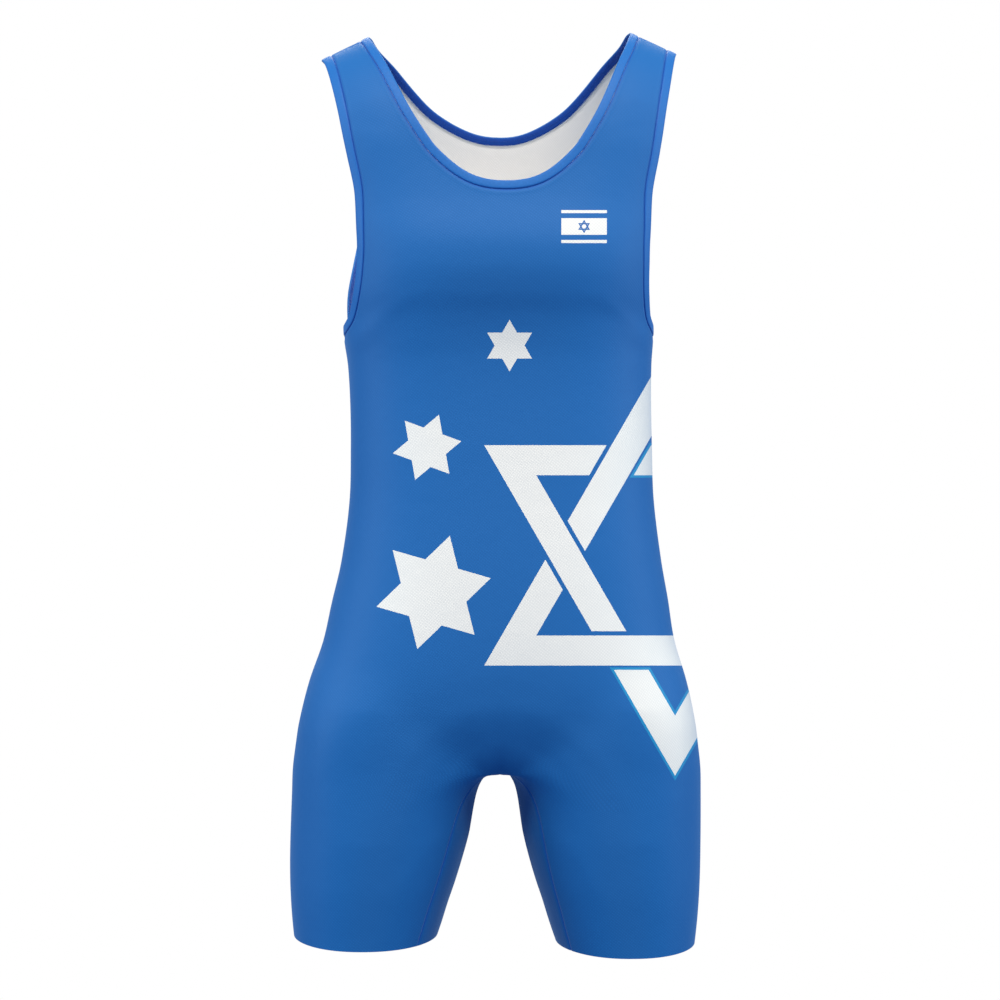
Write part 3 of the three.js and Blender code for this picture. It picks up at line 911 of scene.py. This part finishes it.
def print_place(tree):
    """Where a point of the garment lies on the print: across, up, and 1."""
    position = add_node(tree, "ShaderNodeTexCoord", None, "Object")
    turn = math.radians(PRINT_TURN)
    cosine, sine = math.cos(turn), math.sin(turn)
    far = PRINT_DISTANCE * MM

    # Across, and up from the print's middle height, over the share of the distance to the camera
    rows = [((cosine, sine, 0), 0.0), ((0, 0, 1), -PRINT_HEIGHT * MM),
            ((-sine / far, cosine / far, 0), 1.0)]
    across, height, depth = (
        add_node(tree, "ShaderNodeMath", {0: start, 1: add_node(
            tree, "ShaderNodeVectorMath", {0: position, 1: way}, "Value",
            operation="DOT_PRODUCT")}, 0, operation="ADD")
        for way, start in rows)
    across = add_node(tree, "ShaderNodeMath", {0: across, 1: depth}, 0, operation="DIVIDE")
    height = add_node(tree, "ShaderNodeMath", {0: height, 1: depth}, 0, operation="DIVIDE")
    up = add_node(tree, "ShaderNodeMath", {0: height, 1: PRINT_HEIGHT * MM}, 0, operation="ADD")
    place = add_node(tree, "ShaderNodeCombineXYZ", {0: across, 1: up, 2: 1.0}, 0)
    return place, across, up


def print_masks(tree):
    """Masks of what is printed white, and of the fine line round some of it."""
    place, across, up = print_place(tree)
    white = []
    for middle, radius, turn in STARS:
        first = triangle_reach(tree, place, middle, turn)[0]
        second = triangle_reach(tree, place, middle, turn + 180)[0]
        white += [outside(tree, beyond(tree, reach, radius / 2)) for reach in (first, second)]
    middle, band, gap = HEXAGRAM["middle"], HEXAGRAM["band"], HEXAGRAM["gap"]
    line = (HEXAGRAM["radius"] - band) / 2
    # The three ways of a triangle: its level band first, then those at its other two sides.
    down, down_ways = triangle_reach(tree, place, middle, 0)
    rise, rise_ways = triangle_reach(tree, place, middle, 180)
    wide = band / 2 + gap
    down_left = within(tree, down_ways[2], line, wide)
    rise_left = within(tree, rise_ways[1], line, wide)
    base = within(tree, rise_ways[0], line, wide)
    upper = beyond(tree, up, HEXAGRAM["under_top"])
    above = beyond(tree, up, HEXAGRAM["above_base"])
    rising = both(tree, within(tree, rise, line, band / 2),
                  outside(tree, both(tree, down_left, above)))
    cut = outside(tree, either(tree, both(tree, rise_left, upper), base))
    white += [rising, both(tree, within(tree, down, line, band / 2), cut)]
    near = wide - HEXAGRAM["keyline"]
    near_left = within(tree, rise_ways[1], line, near)
    near_base = within(tree, rise_ways[0], line, near)
    lower = outside(tree, beyond(tree, up, HEXAGRAM["below_base"]))
    right = both(tree, upper, beyond(tree, across, HEXAGRAM["right_part"]))
    lined = within(tree, down, line, band / 2 + HEXAGRAM["keyline"])
    uncut = outside(tree, either(tree, both(tree, near_left, upper), near_base))
    keyline = both(tree, lined, uncut, either(tree, lower, right))
    star = FLAG["star_radius"] / 2 - FLAG["star_line"] / 2
    flag_middle = (FLAG["middle"][0], FLAG["block"][0])
    lines = [within(tree, triangle_reach(tree, place, flag_middle, turn)[0], star,
                    FLAG["star_line"] / 2) for turn in (0, 180)]
    rows = [within(tree, up, level, half) for level, half in (*FLAG["stripes"], FLAG["block"])]
    wide = within(tree, across, FLAG["middle"][0], FLAG["half_width"])
    white.append(both(tree, wide, either(tree, *rows), outside(tree, either(tree, *lines))))
    return either(tree, *white), keyline


def knit_relief(tree, pitch, height, strength):
    """The bump of a knit: fine dots on the two diagonals of the cloth, and its slow unevenness.
    Real courses lie about 0.6 mm apart, too fine for the picture, so the dots are drawn coarser."""
    cloth = add_node(tree, "ShaderNodeUVMap", None, "UV", uv_map="cloth")
    waves = []
    for turn in (38, -52):
        turned = add_node(tree, "ShaderNodeMapping", {
            "Vector": cloth, "Rotation": (0, 0, math.radians(turn))}, "Vector")
        # Blender's wave texture repeats every pi / 10 of its coordinate at scale 1.
        waves.append(add_node(tree, "ShaderNodeTexWave", {
            "Vector": turned, "Scale": math.pi / 10 / (pitch * MM)}, "Fac"))
    dots = both(tree, *waves)
    place = add_node(tree, "ShaderNodeTexCoord", None, "Object")
    slow = add_node(tree, "ShaderNodeTexNoise", {
        "Vector": place, "Scale": 55.0, "Detail": 2.0, "Roughness": 0.5}, "Fac")
    fine = add_node(tree, "ShaderNodeBump", {
        "Height": dots, "Distance": height * MM, "Strength": strength}, "Normal")
    soft = add_node(tree, "ShaderNodeBump", {
        "Height": slow, "Distance": 1.2 * MM, "Strength": 0.25, "Normal": fine}, "Normal")
    return soft, dots


def finish_cloth(tree, colour, normal, roughness, sheen, sheen_tint):
    """Soft filament cloth: a weak gloss, and a bloom of loose fibres where it turns away."""
    shader = add_node(tree, "ShaderNodeBsdfPrincipled", {
        "Base Color": colour, "Roughness": roughness, "Normal": normal,
        "Specular IOR Level": 0.28, "Sheen Weight": sheen, "Sheen Roughness": 0.42,
        "Sheen Tint": sheen_tint}, "BSDF")
    add_node(tree, "ShaderNodeOutputMaterial", {"Surface": shader})


def mottled(tree, colour, dots, depth):
    """A knit's colour, a little darker in the holes between its dots."""
    shade = add_node(tree, "ShaderNodeMapRange", {
        "Value": dots, "From Max": 0.6, "To Min": 1.0 - depth}, "Result")
    return add_node(tree, "ShaderNodeMix", {0: 1.0, MIX_FIRST: colour, MIX_SECOND: shade},
                    MIX_RESULT, data_type="RGBA", blend_type="MULTIPLY")


def with_painted_seam_shade(tree, colour, colours):
    """The colour with painted shade along a seam's groove, mixed towards the thread colour."""
    seam = add_node(tree, "ShaderNodeAttribute", None, "Fac", attribute_name="seam")
    # Up to 0.65 of the thread colour as painted shade on the seam line
    share = add_node(tree, "ShaderNodeMapRange", {"Value": seam, "To Max": 0.65}, "Result")
    return add_node(tree, "ShaderNodeMix", {
        0: share, MIX_FIRST: colour, MIX_SECOND: colours.thread}, MIX_RESULT, data_type="RGBA")


def printed_knit(colours):
    """Polyester and elastane interlock, dyed by heat transfer: smooth face, soft sheen, and a print
    without any thickness, so that the knit shows through the white as well as the blue."""
    material, tree = new_material("polyester_interlock_printed")
    normal, dots = knit_relief(tree, 2.1, 0.16, 0.35)
    white, keyline = print_masks(tree)
    lined = add_node(tree, "ShaderNodeMix", {
        0: keyline, MIX_FIRST: colours.knit, MIX_SECOND: colours.keyline},
        MIX_RESULT, data_type="RGBA")
    printed = add_node(tree, "ShaderNodeMix", {
        0: white, MIX_FIRST: lined, MIX_SECOND: colours.printed}, MIX_RESULT, data_type="RGBA")
    # Painted shade along the seams, in the thread colour
    colour = with_painted_seam_shade(tree, mottled(tree, printed, dots, 0.11), colours)
    finish_cloth(tree, colour, normal, 0.6, 0.3, linear("#9cc0e8"))
    return material


def plain_knit(colours):
    """The same interlock dyed in one colour, with the same smooth face and soft sheen."""
    material, tree = new_material("polyester_interlock_blue")
    normal, dots = knit_relief(tree, 2.1, 0.16, 0.35)
    # Painted shade along the seams, in the thread colour
    colour = with_painted_seam_shade(tree, mottled(tree, colours.knit, dots, 0.11), colours)
    finish_cloth(tree, colour, normal, 0.6, 0.3, linear("#9cc0e8"))
    return material


def inside_knit(colours):
    """The undyed back of the interlock: white, matt and a little brushed, with a dull bloom."""
    material, tree = new_material("polyester_interlock_undyed_back")
    normal, dots = knit_relief(tree, 1.4, 0.12, 0.4)
    colour = mottled(tree, colours.inside, dots, 0.06)
    finish_cloth(tree, colour, normal, 0.85, 0.15, linear("#ffffff"))
    return material


def folded_binding(name, dye_and_painted_shade, colours):
    """A folded strip of finer elastane jersey: even, with a soft gloss along its fold. For the
    inner half the colour given is darker, as painted shade."""
    material, tree = new_material(name)
    normal, dots = knit_relief(tree, 1.6, 0.10, 0.2)
    # Painted shade along the seam, in the thread colour
    colour = with_painted_seam_shade(tree, mottled(tree, dye_and_painted_shade, dots, 0.08), colours)
    finish_cloth(tree, colour, normal, 0.55, 0.3, linear("#9cc0e8"))
    return material


def sewing_thread(colours):
    """Textured polyester thread: darker than the cloth, with a faint gloss along its twist."""
    material, tree = new_material("polyester_sewing_thread")
    place = add_node(tree, "ShaderNodeTexCoord", None, "Object")
    twist = add_node(tree, "ShaderNodeTexNoise", {"Vector": place, "Scale": 2600.0}, "Fac")
    bump = add_node(tree, "ShaderNodeBump", {
        "Height": twist, "Distance": 0.1 * MM, "Strength": 0.4}, "Normal")
    colour = mottled(tree, colours.thread, twist, 0.3)
    finish_cloth(tree, colour, bump, 0.45, 0.1, linear("#ffffff"))
    return material


def studio_paper():
    """Seamless white background paper: matt and even."""
    material, tree = new_material("seamless_paper")
    place = add_node(tree, "ShaderNodeTexCoord", None, "Object")
    grain = add_node(tree, "ShaderNodeTexNoise", {
        "Vector": place, "Scale": 900.0, "Detail": 2.0}, "Fac")
    bump = add_node(tree, "ShaderNodeBump", {
        "Height": grain, "Distance": 0.1 * MM, "Strength": 0.2}, "Normal")
    shader = add_node(tree, "ShaderNodeBsdfPrincipled", {
        "Base Color": linear("#f7f7f7"), "Roughness": 0.9, "Normal": bump}, "BSDF")
    add_node(tree, "ShaderNodeOutputMaterial", {"Surface": shader})
    return material


# Sizes and colours that a user may change

def length_property(name, description, default, low, high):
    """A length given in millimetres here, and held in metres as Blender does."""
    return FloatProperty(name=name, description=description, default=default * MM, min=low * MM,
                         max=high * MM, unit="LENGTH", precision=5)


def colour_property(name, description, code):
    return FloatVectorProperty(name=name, description=description, default=linear(code),
                               subtype="COLOR", min=0.0, max=1.0, size=4)


class SingletSizes(bpy.types.PropertyGroup):
    cloth: length_property("Cloth", "Thickness of a panel", 0.9, 0.4, 1.2)
    seam_gap: length_property("Seam gap", "Gap between two panels at a seam", 0.04, 0.02, 0.4)
    seam_depth: length_property("Seam depth", "How far a seam sinks in", 0.75, 0.0, 1.5)
    pucker_pitch: length_property(
        "Pucker pitch", "Distance between ripples along an inner leg seam", 9.0, 4.0, 30.0)
    pucker_depth: length_property(
        "Pucker depth", "Height of the ripples along an inner leg seam", 0.14, 0.0, 1.0)
    crease_scale: FloatProperty(
        name="Creases", description="Strength of the soft creases", default=1.0, min=0.0, max=3.0,
        subtype="FACTOR")
    stitch_pitch: length_property(
        "Stitch pitch", "Distance from stitch to stitch", 2.6, 1.0, 6.0)
    stitch_length: length_property("Stitch length", "Length of one stitch", 2.1, 0.5, 6.0)
    stitch_thickness: length_property("Thread", "Thickness of the thread", 0.45, 0.1, 1.0)
    band_stations: IntProperty(
        name="Band steps", description="Steps along a band", default=240, min=40, max=400)


class SingletColours(bpy.types.PropertyGroup):
    knit: colour_property("Knit", "Colour of the panels", "#0a5c9e")
    binding: colour_property("Binding", "Colour of the folded bands", "#115fa6")
    # The darker inner half of a band is painted shade.
    binding_inner_painted_shade: colour_property("Binding inside", "Inner half of the folded bands", "#003c94")
    # The thread colour is also what the seam grooves are painted towards as shade.
    thread: colour_property("Thread", "Colour of the sewing thread", "#063f9a")
    printed: colour_property("Print", "White of the print", "#e0ddd6")
    keyline: colour_property("Keyline", "Fine line round parts of the print", "#1583b4")
    inside: colour_property("Inside", "Undyed back of the knit", "#dddbd8")


# Operators


class SINGLET_OT_panels(bpy.types.Operator):
    """Makes the front and the back panel as thin shells of cloth, after the bands sewn to them"""
    bl_idname = "singlet.panels"
    bl_label = "Front and back panels"

    def execute(self, context):
        sizes, colours = context.scene.singlet_sizes, context.scene.singlet_colours
        skin = relief_skin(sizes)
        inside = inside_knit(colours)
        for back, name, material in ((False, "front_panel", printed_knit(colours)),
                                     (True, "back_panel", plain_knit(colours))):
            points, faces, outer_count, seam = cloth_wall(skin, back, sizes)
            corners = skin.cloth[skin.faces[back]]
            rim_count = len(faces) - 2 * outer_count
            cloth = np.concatenate([
                corners, corners[:, ::-1], np.zeros((rim_count, 4, 2))])
            slots = np.concatenate([
                np.zeros(outer_count), np.ones(outer_count), np.zeros(rim_count)])
            panel = new_piece(name + "_cloth", points, faces, cloth, seam, slots,
                              (material, inside), name, "body_knit")
        return {"FINISHED"}


class SINGLET_OT_bands(bpy.types.Operator):
    """Makes the folded bands of the neck and of both armholes"""
    bl_idname = "singlet.bands"
    bl_label = "Neck and armhole bands"

    def execute(self, context):
        sizes = context.scene.singlet_sizes
        colours = context.scene.singlet_colours
        material = folded_binding("elastane_jersey_binding", colours.binding, colours)
        # The inner half of each band in a darker colour, as painted shade
        inner = folded_binding("elastane_jersey_binding_painted_shade", colours.binding_inner_painted_shade,
                               colours)
        count = sizes.band_stations
        rings = {
            "neck_band_front": (neck_stations(False, count // 2), NECK_BAND_WIDTH, False),
            "neck_band_back": (neck_stations(True, count // 2), NECK_BAND_WIDTH, False),
            "armhole_band_right": (armhole_stations(-1, count), ARMHOLE_BAND_WIDTH, True),
            "armhole_band_left": (armhole_stations(1, count), ARMHOLE_BAND_WIDTH, True),
        }
        for name, ((turns, levels), width, closed) in rings.items():
            band = band_mesh(seam_frames(turns, levels, closed), width, closed)
            new_piece(name + "_cloth", *band, (material, inner), name, "band_knit")
        return {"FINISHED"}


class SINGLET_OT_stitches(bpy.types.Operator):
    """Sews the bands down with a row of stitches along the middle of their inner face"""
    bl_idname = "singlet.stitches"
    bl_label = "Stitches"

    def execute(self, context):
        sizes = context.scene.singlet_sizes
        thread = sewing_thread(context.scene.singlet_colours)
        count = sizes.band_stations

        def inner_row(stations, closed, out):
            places, outward, normals, _ = seam_frames(*stations, closed)
            return places + outward * out - normals * 1.62, closed
        stitch_piece("neck_stitches", [
            inner_row(neck_stations(back, count // 2), False, NECK_BAND_WIDTH * 0.5)
            for back in (False, True)], thread, sizes)
        stitch_piece("armhole_stitches", [
            inner_row(armhole_stations(side, count), True, ARMHOLE_BAND_WIDTH * 0.5)
            for side in (-1, 1)], thread, sizes)
        return {"FINISHED"}


CAMERA_DISTANCE = 2.150
CAMERA_TURN = -2.5
CAMERA_HEIGHT = -0.429
CAMERA_ASIDE = 0.00143
CAMERA_LENS = 81.47
FLOOR_LEVEL = -1.25
FLOOR_RADIUS = 1.45
WARM, COOL = (1.0, 0.93, 0.80), (0.82, 0.95, 1.0)
FILL_LIGHT = (0.09, 0.17, 0.36, 1.0)
LAMPS = (
    # name, place, aim, width, height, watts, colour
    ("softbox_right", (-1.7, -2.6, 3.1), (0, 0, -0.60), 1.6, 1.6, 157.0, WARM),
    ("softbox_left", (1.7, -2.6, 3.1), (0, 0, -0.60), 1.6, 1.6, 157.0, WARM),
    ("softbox_front", (0.1, -3.4, -1.0), (0, 0, -0.80), 2.4, 1.2, 24.0, COOL),
    ("strip_left", (2.4, -0.4, 0.2), (0, 0, -0.45), 0.7, 2.2, 34.0, COOL),
    ("strip_right", (-2.4, -0.4, 0.2), (0, 0, -0.45), 0.7, 2.2, 34.0, COOL),
    ("softbox_back", (0.0, 2.6, 2.2), (0, 0, -0.40), 2.2, 1.6, 60.0, WARM),
)


class SINGLET_OT_stage(bpy.types.Operator):
    """Makes the camera, the lamps, the white surround and the pale floor"""
    bl_idname = "singlet.stage"
    bl_label = "Studio"

    def execute(self, context):
        scene = context.scene
        turn = math.radians(CAMERA_TURN)
        ahead = Vector((-math.sin(turn), math.cos(turn), 0))
        beside = Vector((math.cos(turn), math.sin(turn), 0))
        data = bpy.data.cameras.new("camera")
        data.lens = CAMERA_LENS
        camera = bpy.data.objects.new("camera", data)
        camera.location = beside * CAMERA_ASIDE - ahead * CAMERA_DISTANCE
        camera.location.z = CAMERA_HEIGHT
        camera.rotation_euler = ahead.to_track_quat("-Z", "Y").to_euler()
        scene.collection.objects.link(camera)
        scene.camera = camera
        for name, place, aim, width, height, watts, colour in LAMPS:
            lamp = bpy.data.lights.new(name, "AREA")
            lamp.shape, lamp.size, lamp.size_y, lamp.energy = "RECTANGLE", width, height, watts
            lamp.color = colour
            lit = bpy.data.objects.new(name, lamp)
            lit.location = place
            way = Vector(aim) - Vector(place)
            lit.rotation_euler = way.to_track_quat("-Z", "Y").to_euler()
            lit.visible_camera = False
            scene.collection.objects.link(lit)
        world = bpy.data.worlds.new("white_surround")
        scene.world = world
        world.use_nodes = True
        tree = world.node_tree
        tree.nodes.clear()
        seen = add_node(tree, "ShaderNodeLightPath", None, "Is Camera Ray")
        light = add_node(tree, "ShaderNodeMix", {
            0: seen, MIX_FIRST: FILL_LIGHT, MIX_SECOND: linear("#ffffff")}, MIX_RESULT,
            data_type="RGBA")
        surround = add_node(tree, "ShaderNodeBackground", {"Color": light}, "Background")
        add_node(tree, "ShaderNodeOutputWorld", {"Surface": surround})
        mesh = bpy.data.meshes.new("floor")
        count = 96
        ring = [(FLOOR_RADIUS * math.cos(2 * math.pi * i / count),
                 FLOOR_RADIUS * math.sin(2 * math.pi * i / count), FLOOR_LEVEL)
                for i in range(count)]
        mesh.from_pydata(ring, [], [list(range(count))])
        mesh.materials.append(studio_paper())
        floor = bpy.data.objects.new("floor", mesh)
        floor.visible_diffuse = floor.visible_glossy = False
        scene.collection.objects.link(floor)
        scene.view_settings.view_transform = "Standard"
        return {"FINISHED"}


class SINGLET_PT_sidebar(bpy.types.Panel):
    bl_idname = "SINGLET_PT_sidebar"
    bl_label = "Wrestling singlet"
    bl_space_type = "VIEW_3D"
    bl_region_type = "UI"
    bl_category = "Singlet"

    def draw(self, context):
        for group in (context.scene.singlet_sizes, context.scene.singlet_colours):
            for name in group.__annotations__:
                self.layout.prop(group, name)
        for operator in OPERATORS:
            self.layout.operator(operator.bl_idname)


OPERATORS = (SINGLET_OT_bands, SINGLET_OT_stitches, SINGLET_OT_panels, SINGLET_OT_stage)
CLASSES = (SingletSizes, SingletColours, *OPERATORS, SINGLET_PT_sidebar)


def register():
    for added in CLASSES:
        bpy.utils.register_class(added)
    bpy.types.Scene.singlet_sizes = PointerProperty(type=SingletSizes)
    bpy.types.Scene.singlet_colours = PointerProperty(type=SingletColours)


def unregister():
    del bpy.types.Scene.singlet_colours
    del bpy.types.Scene.singlet_sizes
    for added in reversed(CLASSES):
        bpy.utils.unregister_class(added)


def main():
    register()
    bpy.ops.singlet.bands()
    bpy.ops.singlet.stitches()
    bpy.ops.singlet.panels()
    bpy.ops.singlet.stage()


if __name__ == "__main__":
    main()
